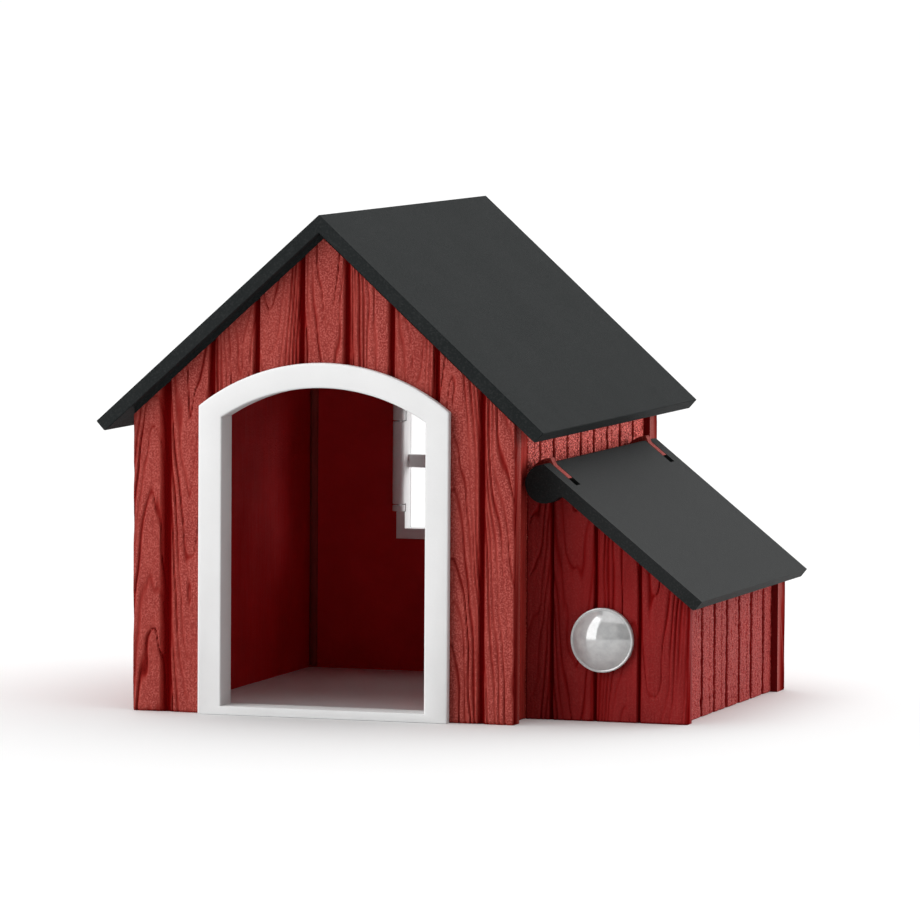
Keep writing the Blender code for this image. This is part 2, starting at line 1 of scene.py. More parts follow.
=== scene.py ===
"""Looks of the toy animal hut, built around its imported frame.

The walls are carved afresh with planks and wood grain, the smooth mouldings are copies of the frame's own
solids with rounded edges, and every piece gets a procedural material. House coordinates, which the helpers
below take, run to the right, to the back and up from the front wall's lower left corner.
"""

import math

import bmesh
import bpy
import numpy as np
from mathutils import Matrix, Vector


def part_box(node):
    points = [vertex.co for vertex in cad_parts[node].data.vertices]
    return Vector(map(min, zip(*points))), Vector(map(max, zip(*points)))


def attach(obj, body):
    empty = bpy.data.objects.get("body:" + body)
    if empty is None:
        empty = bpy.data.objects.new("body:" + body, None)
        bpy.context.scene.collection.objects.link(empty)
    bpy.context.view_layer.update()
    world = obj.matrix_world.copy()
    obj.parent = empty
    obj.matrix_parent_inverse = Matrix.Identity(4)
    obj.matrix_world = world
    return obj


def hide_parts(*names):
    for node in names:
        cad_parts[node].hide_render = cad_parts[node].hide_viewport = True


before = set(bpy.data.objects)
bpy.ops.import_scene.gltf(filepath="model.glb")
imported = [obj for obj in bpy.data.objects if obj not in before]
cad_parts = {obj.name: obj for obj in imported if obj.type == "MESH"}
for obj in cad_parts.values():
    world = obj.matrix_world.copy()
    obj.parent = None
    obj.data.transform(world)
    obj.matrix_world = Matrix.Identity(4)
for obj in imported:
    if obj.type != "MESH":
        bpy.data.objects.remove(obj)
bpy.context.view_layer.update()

MM = 0.001
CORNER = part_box("front_wall")[0]  # the origin of the house coordinates

# The house, as in the frame
HOUSE_WIDTH = 85.0 * MM
HOUSE_DEPTH = 107.4 * MM
MIDDLE = HOUSE_WIDTH / 2
FRONT_THICKNESS = 4.4 * MM
INNER_BACK = 101.4 * MM
SIDE_THICKNESS = 4.2 * MM
SIDE_RECESS = 1.3 * MM
ROOF_PITCH = math.radians(42.0)
UNDER_RIDGE = 102.715 * MM
ROOF_SEAT = 0.95 * MM  # extra thickness of the roof where it sits on the gable walls
DOOR_MIDDLE = MIDDLE + 0.68 * MM
DOOR_HALF_WIDTH = 24.25 * MM
DOOR_SPRING = 64.3 * MM
DOOR_APEX = 71.6 * MM
WINDOW_MIDDLE = 47.15 * MM
WINDOW_HALF = (16.4 * MM, 17.55 * MM)

# The store, as in the frame
STORE_FRONT = 13.6 * MM
STORE_BACK = 92.3 * MM
STORE_RIGHT = 119.0 * MM
STORE_FRONT_THICKNESS = 3.8 * MM
STORE_BACK_THICKNESS = 6.4 * MM
STORE_SIDE_THICKNESS = 4.0 * MM
LID_AXIS = Vector((88.2 * MM, 0.0, 50.2 * MM))
LID_SLOPE = math.radians(38.67)
STORE_HOLLOW = 4.24 * MM
STORE_TOP = 0.42 * MM
LID_FILLET = Vector((5.30 * MM, -0.68 * MM))  # middle of the hollow between barrel and underside
PORTHOLE = Vector((100.5 * MM, 0.0, 17.4 * MM))
PORTHOLE_BORE = 5.8 * MM
LET_IN = 0.2 * MM  # how far a wall's end stands inside the next wall
JUST_INSIDE = 0.1 * MM  # a small step past a face

# Planks
PLANK = 10.0 * MM
SIDE_PLANK = 9.95 * MM
STORE_PLANK = 9.7 * MM
STORE_SIDE_PLANK = 9.8 * MM
GROOVE_SHIFT = 0.5 * MM  # how far to the right of an even spread the gable walls' grooves are
FIRST_SIDE_GROOVE = 13.1 * MM
FIRST_STORE_GROOVE = STORE_RIGHT - 29.9 * MM
FIRST_STORE_SIDE_GROOVE = STORE_FRONT + 6.9 * MM
GROOVES = [MIDDLE + GROOVE_SHIFT + (step - 3.5) * PLANK for step in range(8)]
SIDE_GROOVES = [FIRST_SIDE_GROOVE + step * SIDE_PLANK for step in range(9)]
STORE_GROOVES = [FIRST_STORE_GROOVE + step * STORE_PLANK for step in range(3)]
STORE_SIDE_GROOVES = [FIRST_STORE_SIDE_GROOVE + step * STORE_SIDE_PLANK for step in range(8)]
GROOVE_WIDTHS = (1.05 * MM, 0.55 * MM)  # the gentle left side and the steep right side
CORNER_GROOVE_WIDTHS = (2.0 * MM, 0.75 * MM)
NARROW_GROOVE_WIDTHS = (0.55 * MM, 0.40 * MM)
GROOVE_DEPTH = 0.95 * MM
EDGE_ROUND = 0.35 * MM
CARVED_LAYER = 1.3 * MM  # points less deep than this count as carved
FULL_RELIEF = 0.9 * MM  # depth below a wall's plain surface that the material takes for the deepest
OVERCUT = 2.0 * MM  # how far a cutter stands out of what it cuts
LATTICE = 256  # cells of noise before it repeats

# Copies of the frame's solids
SAME_POINT = 0.004 * MM  # points closer than this are one
FLAT_ANGLE = math.radians(0.5)  # triangles that turn less than this make one face
CRISP_ANGLE = math.radians(28.0)  # edges that turn more than this are rounded

# Incised wood grain, on the walls that face front and back
SWAY = 0.30 * MM
GRAIN_WIDTH = 0.24 * MM
GRAIN_DEPTH = 0.42 * MM
FIBRE_DEPTH = 0.085 * MM
SWELL_DEPTH = 0.06 * MM
PLANK_STEP = 0.08 * MM  # the furthest back that a plank stands

# Cracks and pebbled grain, on the walls that face left and right
SIDE_SWAY = 0.5 * MM
CRACK_DEPTH = 1.0 * MM
FAINT_CRACK_DEPTH = 0.34 * MM
PEBBLE_DEPTH = 0.16 * MM
PIT_DEPTH = 0.70 * MM
SIDE_FIBRE_DEPTH = 0.04 * MM
STIPPLE_DEPTH = 0.20 * MM  # usual depth of this grain
SMOOTH_DEPTH = 0.45 * MM  # depth of the strip that has none, sunk so far that the groove colours paint shade on it
SMOOTH_FIBRE_DEPTH = 0.08 * MM

# Colours, in linear light
GRAIN_RED = (0.160, 0.008, 0.008, 1.0)
PIT_RED = (0.150, 0.010, 0.009, 1.0)
# Painted shade: the carving's depth darkens the grooves and the incised grain towards these two reds
GROOVE_SHADE_RED = (0.150, 0.004, 0.004, 1.0)
DEEP_GROOVE_SHADE_RED = (0.075, 0.0003, 0.0006, 1.0)
PAINTED_LIGHT_CABIN_REDS = ((0.50, 0.012, 0.015, 1.0), (0.60, 0.017, 0.021, 1.0))  # of the walls' inner faces: painted light, about twice as light as the outer red
PAINTED_SHADE_OUTSIDE_RED = (0.140, 0.002, 0.003, 1.0)  # painted shade on inner faces that aren't between the side walls
BLACK_SPECK = (0.07, 0.07, 0.07, 1.0)
MILKY_GREYS = ((0.37, 0.375, 0.375, 1.0), (0.48, 0.48, 0.477, 1.0), (0.42, 0.42, 0.42, 1.0))
STEEL_GREYS = ((0.42, 0.42, 0.43, 1.0), (0.58, 0.58, 0.59, 1.0))
TABLE_WHITE = (0.92, 0.92, 0.92, 1.0)

# Studio
SKY = 0.20
BACKGROUND = 1.02
TABLE_REACH = 3.0
LEFT_BOX = ((-0.85, -0.85, 0.95), (1.15, 1.9), 27.5)  # location, size and power
RIGHT_BOX = ((1.08, 0.55, 0.27), (0.9, 0.5), 9.0)
TOP_LIGHT = ((0.0, 0.35, 1.0), 3.2, 120.0)  # where from, strength and spread in degrees

# Camera
CAMERA_ANGLES = (17.585, 4.205, 0.362)  # azimuth from the front, elevation and roll, in degrees
CAMERA_TARGET = (72.95 * MM, 0.0, 55.57 * MM)
CAMERA_DISTANCE = 1.5901
CAMERA_LENS = 296.6


# ---------------------------------------------------------------------------
# Shape helpers


def lattice_noise(u, v, seed):
    """Smooth value noise from 0 to 1 on a lattice of seeded random numbers."""
    table = np.random.default_rng(seed).random((LATTICE, LATTICE))
    column = np.floor(u).astype(int)
    row = np.floor(v).astype(int)
    across = u - column
    along = v - row
    across = across * across * (3.0 - 2.0 * across)
    along = along * along * (3.0 - 2.0 * along)
    column %= LATTICE
    row %= LATTICE
    right = (column + 1) % LATTICE
    above = (row + 1) % LATTICE
    low = table[column, row] * (1.0 - across) + table[right, row] * across
    high = table[column, above] * (1.0 - across) + table[right, above] * across
    return low * (1.0 - along) + high * along


def patches(a, b, size, seed):
    """Smooth noise in patches of this width and height in millimetres."""
    return lattice_noise(a / (size[0] * MM), b / (size[1] * MM), seed)


def sway(b, amount, length, row, seed):
    """How far a groove wanders sideways at height b. length is in millimetres."""
    return amount * (lattice_noise(b / (length * MM), np.full_like(b, row), seed) - 0.5)


def groove_cut(offset, widths):
    """Share of the groove's depth at an offset from its deepest line."""
    wide = np.where(offset < 0.0, widths[0], widths[1])
    return np.clip(1.0 - np.abs(offset) / wide, 0.0, 1.0)


def plank_relief(a, b, grooves, groove_widths, seed, fibre_length=0.75):
    """Depth of grooves and of incised wood grain at width a and height b of a planked face.

    The grain is made of rings, which are arched lines round each plank's heart. fibre_length is in
    millimetres.
    """
    chance = np.random.default_rng(seed)
    count = len(grooves) + 1
    moved = a + sway(b, SWAY, 17.0, 3.5, seed)
    groove = np.max([groove_cut(moved - at, widths) for at, widths in zip(grooves, groove_widths)], axis=0)
    depth = GROOVE_DEPTH * groove**0.8

    plank = np.searchsorted(grooves, a)
    pitch = grooves[1] - grooves[0]
    middles = np.array([grooves[0] - pitch / 2] + [at + pitch / 2 for at in grooves])
    heart = (middles + chance.uniform(-0.30, 0.30, count) * pitch)[plank]
    curve = chance.uniform(0.090, 0.125, count)[plank] / MM**2
    rise = (chance.uniform(0.045, 0.085, count) * chance.choice([-1.0, -1.0, 1.0], count))[plank] / MM
    bend = patches(a, b, (4.0, 19.0), seed + 1) - 0.5
    bend += 0.5 * (patches(a, b, (1.6, 8.0), seed + 2) - 0.5)
    rings = curve * (a - heart) ** 2 + rise * b + 1.3 * bend + 7.3 * plank
    steepness = np.sqrt((2.0 * curve * (a - heart)) ** 2 + rise**2)
    line = np.floor(rings)
    off_line = np.abs(rings - line - 0.5) / steepness
    strength = lattice_noise(line * 1.7 + plank * 11.0, b / (26.0 * MM), seed + 3)
    strength = np.clip(strength * 1.3, 0.15, 1.0)
    grain = GRAIN_DEPTH * strength * np.exp(-((off_line / GRAIN_WIDTH) ** 2))
    fibres = FIBRE_DEPTH * patches(a, b, (0.42, fibre_length), seed + 4)
    swell = SWELL_DEPTH * patches(a, b, (2.4, 14.0), seed + 5)
    step = (chance.uniform(0.0, 1.0, count) * PLANK_STEP)[plank]
    return depth + (grain + fibres + swell + step) * (1.0 - groove)


def stippled_relief(a, b, grooves, seed, smooth_shaded_end=0.0):
    """Depth of narrow cracks and of coarse pebbled grain on a side wall. Up to the given end it is smooth
    instead, and sunk so far that the groove colours paint shade on it.
    """
    wander = sway(b, SIDE_SWAY, 11.0, 8.5, seed)
    chance = np.random.default_rng(seed)
    depth = np.zeros_like(a)
    for groove in grooves:
        wide = chance.uniform(0.65, 1.05) * MM
        cut = np.clip(2.6 * groove_cut(a + wander - groove, (wide, wide)), 0.0, 1.0)
        depth = np.maximum(depth, CRACK_DEPTH * cut)
    for groove in grooves:
        crack = groove + chance.uniform(2.0, 8.0) * MM
        faint = lattice_noise(b / (13.0 * MM), np.full_like(b, crack / MM), seed + 6)
        cut = np.clip(1.0 - np.abs(a + 1.6 * wander - crack) / (0.38 * MM), 0.0, 1.0)
        depth = np.maximum(depth, FAINT_CRACK_DEPTH * cut * np.clip(2.0 * faint - 0.35, 0.0, 1.0))
    pebbles = patches(a, b, (0.46, 0.60), seed + 1) + 0.6 * patches(a, b, (0.9, 1.3), seed + 2)
    pits = np.clip(patches(a, b, (0.7, 0.9), seed + 3) - 0.72, 0.0, 1.0)
    fibres = patches(a, b, (0.8, 7.0), seed + 4)
    pebbled = depth + PEBBLE_DEPTH * pebbles + PIT_DEPTH * pits + SIDE_FIBRE_DEPTH * fibres
    return np.where(a < smooth_shaded_end, SMOOTH_DEPTH + SMOOTH_FIBRE_DEPTH * fibres, pebbled)


def place(house_point):
    """House coordinates to the scene's."""
    return CORNER + Vector(house_point)


def new_piece(name, mesh, body, replaced, material, sharp_angle=35.0):
    """A visible piece that rides a body and, unless replaced is None, stands for that frame node."""
    piece = bpy.data.objects.new(name, mesh)
    bpy.context.scene.collection.objects.link(piece)
    mesh.materials.clear()
    mesh.materials.append(material)
    mesh.shade_smooth()
    mesh.set_sharp_from_angle(angle=math.radians(sharp_angle))
    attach(piece, body)
    if replaced:
        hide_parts(replaced)
    return piece


def helper_object(name, mesh):
    item = bpy.data.objects.new(name, mesh)
    bpy.context.scene.collection.objects.link(item)
    return item


def prism_mesh(name, outline, spot, low, high):
    """A prism between two depths. spot(a, depth, b) says where a point of the outline goes."""
    shape = bmesh.new()
    near = [shape.verts.new(spot(a, low, b)) for a, b in outline]
    far = [shape.verts.new(spot(a, high, b)) for a, b in outline]
    shape.faces.new(near)
    shape.faces.new(far)
    for index in range(len(outline)):
        after = (index + 1) % len(outline)
        shape.faces.new((near[index], near[after], far[after], far[index]))
    bmesh.ops.recalc_face_normals(shape, faces=shape.faces)
    mesh = bpy.data.meshes.new(name)
    shape.to_mesh(mesh)
    shape.free()
    return mesh


def arc(centre, radius, start, end, steps):
    """Points along an arc, anticlockwise from start to end in radians."""
    turns = [start + (end - start) * step / steps for step in range(steps + 1)]
    return [(centre[0] + radius * math.cos(turn), centre[1] + radius * math.sin(turn)) for turn in turns]


def edge_rounding(distance):
    """How far a face drops back at a distance from its edge."""
    inside = np.clip(EDGE_ROUND - distance, 0.0, EDGE_ROUND)
    return EDGE_ROUND - np.sqrt(EDGE_ROUND**2 - inside**2)


def carved_wall(name, outline, holes, spot, thickness, relief, step, material, plain_depth=0.0):
    """A wall of the hutch: its outer face is a fine grid pushed in by relief(a, b), cut to outline and holes.

    spot(a, depth, b) says where a point is, step is the grid's spacing, and plain_depth is the relief's usual
    depth between its grooves.
    """
    spare = 0.5 * MM
    low = (min(a for a, b in outline) - spare, min(b for a, b in outline) - spare)
    high = (max(a for a, b in outline) + spare, max(b for a, b in outline) + spare)
    counts = [int((high[i] - low[i]) / step[i]) + 1 for i in (0, 1)]
    a, b = np.meshgrid(
        np.linspace(low[0], high[0], counts[0]), np.linspace(low[1], high[1], counts[1]), indexing="ij"
    )
    to_side = np.minimum(a - low[0], high[0] - a) - spare
    to_bottom = b - low[1] - spare
    depth = relief(a, b)
    depth = depth + edge_rounding(np.maximum(to_side, 0.0)) + edge_rounding(np.maximum(to_bottom, 0.0))
    points = [spot(*values) for values in zip(a.ravel(), depth.ravel(), b.ravel())]
    rows = counts[1]
    index = np.arange(counts[0] * rows).reshape(counts[0], rows)
    quads = np.stack([index[:-1, :-1], index[1:, :-1], index[1:, 1:], index[:-1, 1:]], axis=-1)
    faces = quads.reshape(-1, 4).tolist()
    back = len(points)
    points += [spot(*corner) for corner in (
        (low[0], thickness, low[1]), (high[0], thickness, low[1]),
        (high[0], thickness, high[1]), (low[0], thickness, high[1]),
    )]
    faces.append([back + 3, back + 2, back + 1, back])
    faces.append(index[:, 0].tolist()[::-1] + [back, back + 1])
    faces.append(index[-1, :].tolist()[::-1] + [back + 1, back + 2])
    faces.append(index[:, -1].tolist() + [back + 2, back + 3])
    faces.append(index[0, :].tolist() + [back + 3, back])
    mesh = bpy.data.meshes.new(name + "_block")
    mesh.from_pydata(points, [], faces)
    shape = bmesh.new()
    shape.from_mesh(mesh)
    bmesh.ops.recalc_face_normals(shape, faces=shape.faces)
    shape.to_mesh(mesh)
    shape.free()
    block = helper_object(name + "_block", mesh)
    cutters = [("INTERSECT", outline)] + [("DIFFERENCE", hole) for hole in holes]
    tools = []
    for number, (operation, shape_outline) in enumerate(cutters):
        tool_mesh = prism_mesh(f"{name}_cut_{number}", shape_outline, spot, -OVERCUT, thickness + OVERCUT)
        tool = helper_object(f"{name}_cut_{number}", tool_mesh)
        modifier = block.modifiers.new(operation, "BOOLEAN")
        modifier.operation = operation
        modifier.solver = "EXACT"
        modifier.object = tool
        tools.append(tool)
    bpy.context.view_layer.update()
    evaluated = block.evaluated_get(bpy.context.evaluated_depsgraph_get())
    carved = bpy.data.meshes.new_from_object(evaluated)
    carved.name = name + "_piece"
    for item in [block] + tools:
        bpy.data.objects.remove(item, do_unlink=True)
    mark_depth(carved, spot, plain_depth, thickness)
    new_piece(name + "_carved", carved, "hutch", name, material)


def mark_depth(mesh, spot, plain_depth, thickness):
    """Stores the carving's depth at each point, from 0 to 1, and which faces are the wall's inner face."""
    origin = Vector(spot(0.0, 0.0, 0.0))
    inwards = (Vector(spot(0.0, 1.0, 0.0)) - origin).normalized()
    points = np.zeros(len(mesh.vertices) * 3, np.float32)
    mesh.vertices.foreach_get("co", points)
    depth = (points.reshape(-1, 3) - np.array(origin)) @ np.array(inwards)
    carved = np.where(depth < CARVED_LAYER, np.clip((depth - plain_depth) / FULL_RELIEF, 0.0, 1.0), 0.0)
    attribute = mesh.attributes.new("relief", "FLOAT", "POINT")
    attribute.data.foreach_set("value", carved.astype(np.float32))
    inner = thickness - JUST_INSIDE
    inside = [min(depth[index] for index in face.vertices) > inner for face in mesh.polygons]
    attribute = mesh.attributes.new("inside", "FLOAT", "FACE")
    attribute.data.foreach_set("value", np.array(inside, np.float32))


def rounded_copy(node, body, material, width, segments=3, sharp_angle=35.0):
    """A copy of a frame node with its edges rounded, which then stands for it."""
    shape = bmesh.new()
    shape.from_mesh(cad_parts[node].data)
    bmesh.ops.remove_doubles(shape, verts=shape.verts, dist=SAME_POINT)
    bmesh.ops.join_triangles(shape, faces=shape.faces, angle_face_threshold=FLAT_ANGLE,
                             angle_shape_threshold=math.pi)
    crisp = [edge for edge in shape.edges if len(edge.link_faces) == 2
             and edge.calc_face_angle(0.0) > CRISP_ANGLE]
    bmesh.ops.bevel(shape, geom=crisp, offset=width, segments=segments, profile=0.5, affect="EDGES",
                    clamp_overlap=True)
    mesh = bpy.data.meshes.new(node + "_piece")
    shape.to_mesh(mesh)
    shape.free()
    piece = new_piece(node + "_moulded", mesh, body, node, material, sharp_angle)
    piece.modifiers.new("flat_faces", "WEIGHTED_NORMAL").keep_sharp = True
    return piece


# ---------------------------------------------------------------------------
# Materials


class Nodes:
    """A small wrapper that adds and links shader nodes."""

    def __init__(self, name):
        self.material = bpy.data.materials.new(name)
        self.material.use_nodes = True
        self.tree = self.material.node_tree
        self.shader = self.tree.nodes["Principled BSDF"]

    def add(self, kind, inputs=None, **settings):
        node = self.tree.nodes.new(kind)
        for key, value in settings.items():
            setattr(node, key, value)
        for key, value in (inputs or {}).items():
            if isinstance(value, bpy.types.NodeSocket):
                self.tree.links.new(value, node.inputs[key])
            else:
                node.inputs[key].default_value = value
        return node

    def to_shader(self, name, socket):
        self.tree.links.new(socket, self.shader.inputs[name])

    def where(self, scale=(1.0, 1.0, 1.0)):
        """Object coordinates, stretched."""
        coordinates = self.add("ShaderNodeTexCoord").outputs["Object"]
        return self.add("ShaderNodeMapping", {"Vector": coordinates, "Scale": scale}).outputs["Vector"]

    def noise(self, scale, stretch=(1.0, 1.0, 1.0), detail=2.0, roughness=0.5):
        """Noise with this many cells to the metre."""
        inputs = {"Vector": self.where(stretch), "Scale": scale, "Detail": detail, "Roughness": roughness}
        return self.add("ShaderNodeTexNoise", inputs).outputs["Fac"]

    def remap(self, value, from_low, from_high, to_low, to_high):
        inputs = {0: value, 1: from_low, 2: from_high, 3: to_low, 4: to_high}
        return self.add("ShaderNodeMapRange", inputs).outputs["Result"]

    def mix(self, share, first, second, blend="MIX"):
        node = self.add("ShaderNodeMix", {0: share, 6: first, 7: second}, data_type="RGBA", blend_type=blend)
        return node.outputs[2]

    def math(self, operation, first, second):
        return self.add("ShaderNodeMath", {0: first, 1: second}, operation=operation).outputs[0]

    def bump(self, height, distance, strength=1.0):
        inputs = {"Height": height, "Distance": distance, "Strength": strength}
        return self.add("ShaderNodeBump", inputs).outputs["Normal"]


def red_plastic(name, wear_and_glint, painted_sheen=1.0, lightness=1.0):
    """Barn-red moulded plastic, with painted shade that turns it deeper red in the grooves and the incised
    grain.

    After the name come how far the high grain gets pale specks, which are partly wear and partly painted
    highlights, and how greyish painted sheen makes the flat surface.
    """
    nodes = Nodes(name)
    relief = nodes.add("ShaderNodeAttribute", attribute_name="relief").outputs["Fac"]
    tone = nodes.noise(90.0, detail=3.0)
    fibre = nodes.noise(1500.0, (1.0, 1.0, 0.07), detail=3.0, roughness=0.6)
    speckle = nodes.noise(2800.0, detail=2.0)
    # The green and blue that grey these reds are painted sheen, as where the plastic catches light
    dark = (0.240 * lightness, 0.008 + 0.024 * painted_sheen, 0.008 + 0.017 * painted_sheen, 1.0)
    pale = (0.285 * lightness, 0.010 + 0.032 * painted_sheen, 0.010 + 0.023 * painted_sheen, 1.0)
    # Pale specks on the high grain: partly worn spots, partly painted highlights
    worn_and_glint_red = (0.50 * lightness, 0.125 * lightness, 0.105 * lightness, 1.0)
    body = nodes.mix(nodes.remap(tone, 0.35, 0.65, 0.0, 1.0), dark, pale)
    body = nodes.mix(nodes.remap(fibre, 0.35, 0.60, 0.30, 0.0), body, GRAIN_RED)
    high = nodes.remap(relief, 0.05, 0.25, 1.0, 0.0)
    worn_and_glint = nodes.math("MULTIPLY", nodes.remap(speckle, 0.50, 0.62, 0.0, wear_and_glint), high)
    body = nodes.mix(worn_and_glint, body, worn_and_glint_red)
    pitted = nodes.math("MULTIPLY", nodes.remap(speckle, 0.50, 0.38, 0.0, wear_and_glint), high)
    body = nodes.mix(pitted, body, PIT_RED)
    # painted shade, deeper with the carving's depth
    body = nodes.mix(nodes.remap(relief, 0.17, 0.45, 0.0, 0.70), body, GROOVE_SHADE_RED)
    body = nodes.mix(nodes.remap(relief, 0.42, 0.72, 0.0, 0.95), body, DEEP_GROOVE_SHADE_RED)
    # painted light on the walls' inner faces, and below it painted shade on the strips beyond the side walls
    painted_cabin = nodes.mix(nodes.remap(tone, 0.3, 0.7, 0.0, 1.0), *PAINTED_LIGHT_CABIN_REDS)
    across = nodes.add("ShaderNodeSeparateXYZ", {0: nodes.where()}).outputs["X"]
    to_middle = nodes.math("ABSOLUTE", nodes.math("SUBTRACT", across, place((MIDDLE, 0.0, 0.0)).x), 0.0)
    # inner faces beyond the side walls get painted shade
    between_walls = nodes.math("LESS_THAN", to_middle, MIDDLE - SIDE_RECESS - JUST_INSIDE)
    painted_cabin = nodes.mix(between_walls, PAINTED_SHADE_OUTSIDE_RED, painted_cabin)
    inside = nodes.add("ShaderNodeAttribute", attribute_name="inside").outputs["Fac"]
    nodes.to_shader("Base Color", nodes.mix(inside, body, painted_cabin))
    nodes.to_shader("Roughness", nodes.remap(fibre, 0.3, 0.7, 0.64, 0.50))
    nodes.to_shader("Specular IOR Level", nodes.remap(relief, 0.10, 0.40, 0.09, 0.0))
    height = nodes.math("ADD", nodes.math("MULTIPLY", fibre, 0.6), nodes.math("MULTIPLY", speckle, 0.8))
    nodes.to_shader("Normal", nodes.bump(height, 0.20 * MM, 1.0))
    return nodes.material


def black_plastic(name, lightness, gloss):
    """Charcoal plastic with a fine spark-eroded texture and faint mottling."""
    nodes = Nodes(name)
    tone = nodes.noise(55.0, detail=4.0, roughness=0.6)
    grain = nodes.noise(2600.0, detail=3.0)
    dark = (0.012 * lightness, 0.0140 * lightness, 0.0142 * lightness, 1.0)
    pale = (0.017 * lightness, 0.0190 * lightness, 0.0193 * lightness, 1.0)
    body = nodes.mix(nodes.remap(tone, 0.35, 0.65, 0.0, 1.0), dark, pale)
    body = nodes.mix(nodes.remap(grain, 0.5, 0.7, 0.0, 0.15), body, BLACK_SPECK)
    nodes.to_shader("Base Color", body)
    nodes.to_shader("Roughness", nodes.remap(tone, 0.3, 0.7, 0.60, 0.64))
    nodes.shader.inputs["Specular IOR Level"].default_value = gloss
    nodes.to_shader("Normal", nodes.bump(grain, 0.10 * MM, 0.9))
    return nodes.material


def white_plastic(name, lightness):
    """Satin white plastic with a faint pebble."""
    nodes = Nodes(name)
    tone = nodes.noise(120.0, detail=3.0)
    grain = nodes.noise(1700.0, detail=2.0)
    dark = (lightness, lightness, lightness, 1.0)
    pale = (1.04 * lightness, 1.04 * lightness, 1.04 * lightness, 1.0)
    body = nodes.mix(nodes.remap(tone, 0.3, 0.7, 0.0, 1.0), dark, pale)
    nodes.to_shader("Base Color", body)
    nodes.to_shader("Roughness", nodes.remap(grain, 0.3, 0.7, 0.42, 0.52))
    nodes.to_shader("Normal", nodes.bump(grain, 0.03 * MM, 0.6))
    return nodes.material


def milky_plastic(name):
    """Translucent milky plastic with cloudy flow marks under a glossy skin."""
    nodes = Nodes(name)
    cloud = nodes.noise(420.0, detail=4.0, roughness=0.6)
    grain = nodes.noise(1900.0, detail=2.0)
    dark, pale, grey = MILKY_GREYS
    body = nodes.mix(nodes.remap(cloud, 0.35, 0.65, 0.0, 1.0), dark, pale)
    nodes.to_shader("Base Color", nodes.mix(nodes.remap(grain, 0.4, 0.7, 0.0, 0.35), body, grey))
    nodes.to_shader("Roughness", nodes.remap(cloud, 0.3, 0.7, 0.08, 0.16))
    nodes.shader.inputs["Subsurface Weight"].default_value = 0.25
    nodes.shader.inputs["Subsurface Radius"].default_value = (1.0, 1.0, 1.0)
    nodes.shader.inputs["Subsurface Scale"].default_value = 1.5 * MM
    nodes.shader.inputs["Coat Weight"].default_value = 1.0
    nodes.shader.inputs["Coat Roughness"].default_value = 0.12
    nodes.shader.inputs["Coat IOR"].default_value = 1.95
    return nodes.material


def steel(name):
    """Plated steel with fine turning marks."""
    nodes = Nodes(name)
    marks = nodes.noise(3000.0, (1.0, 0.1, 1.0), detail=2.0)
    nodes.to_shader("Base Color", nodes.mix(marks, *STEEL_GREYS))
    nodes.to_shader("Roughness", nodes.remap(marks, 0.3, 0.7, 0.28, 0.42))
    nodes.shader.inputs["Metallic"].default_value = 1.0
    return nodes.material


# ---------------------------------------------------------------------------
# Walls


def wall_top(a, seat=0.0):
    """Height of the roof's underside over a, less the seat's thickness."""
    return UNDER_RIDGE - seat / math.cos(ROOF_PITCH) - abs(a - MIDDLE) * math.tan(ROOF_PITCH)


def gable_outline():
    corners = [(a, wall_top(a, ROOF_SEAT)) for a in (HOUSE_WIDTH, MIDDLE, 0.0)]
    return [(0.0, 0.0), (HOUSE_WIDTH, 0.0)] + corners


def door_head(half_width, spring, apex, steps):
    """The arched top of the doorway, from right to left."""
    rise = apex - spring
    radius = (half_width**2 + rise**2) / (2.0 * rise)
    reach = math.asin(half_width / radius)
    return arc((DOOR_MIDDLE, apex - radius), radius, math.pi / 2 - reach, math.pi / 2 + reach, steps)


def doorway_outline():
    foot = [(DOOR_MIDDLE - DOOR_HALF_WIDTH, -OVERCUT), (DOOR_MIDDLE + DOOR_HALF_WIDTH, -OVERCUT)]
    return foot + door_head(DOOR_HALF_WIDTH, DOOR_SPRING, DOOR_APEX, 24)


def window_outline():
    return [(MIDDLE + x * WINDOW_HALF[0], WINDOW_MIDDLE + z * WINDOW_HALF[1])
            for x, z in ((-1, -1), (1, -1), (1, 1), (-1, 1))]


def store_top(a):
    """Height of the store's walls under the lid."""
    return LID_AXIS.z + (STORE_TOP - (a - LID_AXIS.x) * math.sin(LID_SLOPE)) / math.cos(LID_SLOPE)


def store_end_outline():
    """The store's front or back wall, hollowed under the lid's barrel."""
    left = HOUSE_WIDTH - SIDE_RECESS - LET_IN
    tangent = math.atan2(LID_FILLET.y, LID_FILLET.x)
    middle = (LID_AXIS.x + LID_FILLET.length * math.cos(tangent - LID_SLOPE),
              LID_AXIS.z + LID_FILLET.length * math.sin(tangent - LID_SLOPE))
    fillet = LID_FILLET.length - STORE_HOLLOW
    hollow = arc(middle, fillet, math.pi / 2 - LID_SLOPE, math.pi + tangent - LID_SLOPE, 6)
    end = math.radians(190.0) - 2.0 * math.pi
    hollow += arc((LID_AXIS.x, LID_AXIS.z), STORE_HOLLOW, tangent - LID_SLOPE, end, 20)[1:]
    hollow = [point for point in hollow if point[0] > left]
    floor = [(left, 0.0), (STORE_RIGHT, 0.0), (STORE_RIGHT, store_top(STORE_RIGHT))]
    return floor + hollow + [(left, hollow[-1][1])]


def add_corner_beads(red):
    """Half-round ribs up the back wall's inner face, beside the side walls."""
    from_outside = 6.4 * MM
    radius = 0.95 * MM
    under_roof = 1.2 * MM
    foot = 0.2 * MM
    for side, side_name in ((-1, "left"), (1, "right")):
        middle = MIDDLE + side * (MIDDLE - from_outside)
        outline = arc((middle, INNER_BACK + JUST_INSIDE), radius, math.pi, 2.0 * math.pi, 12)
        top = wall_top(middle, ROOF_SEAT) - under_roof
        mesh = prism_mesh(f"bead_{side}", outline, lambda a, d, b: place((a, b, d)), foot, top)
        new_piece(f"back_wall_bead_{side_name}", mesh, "hutch", None, red)


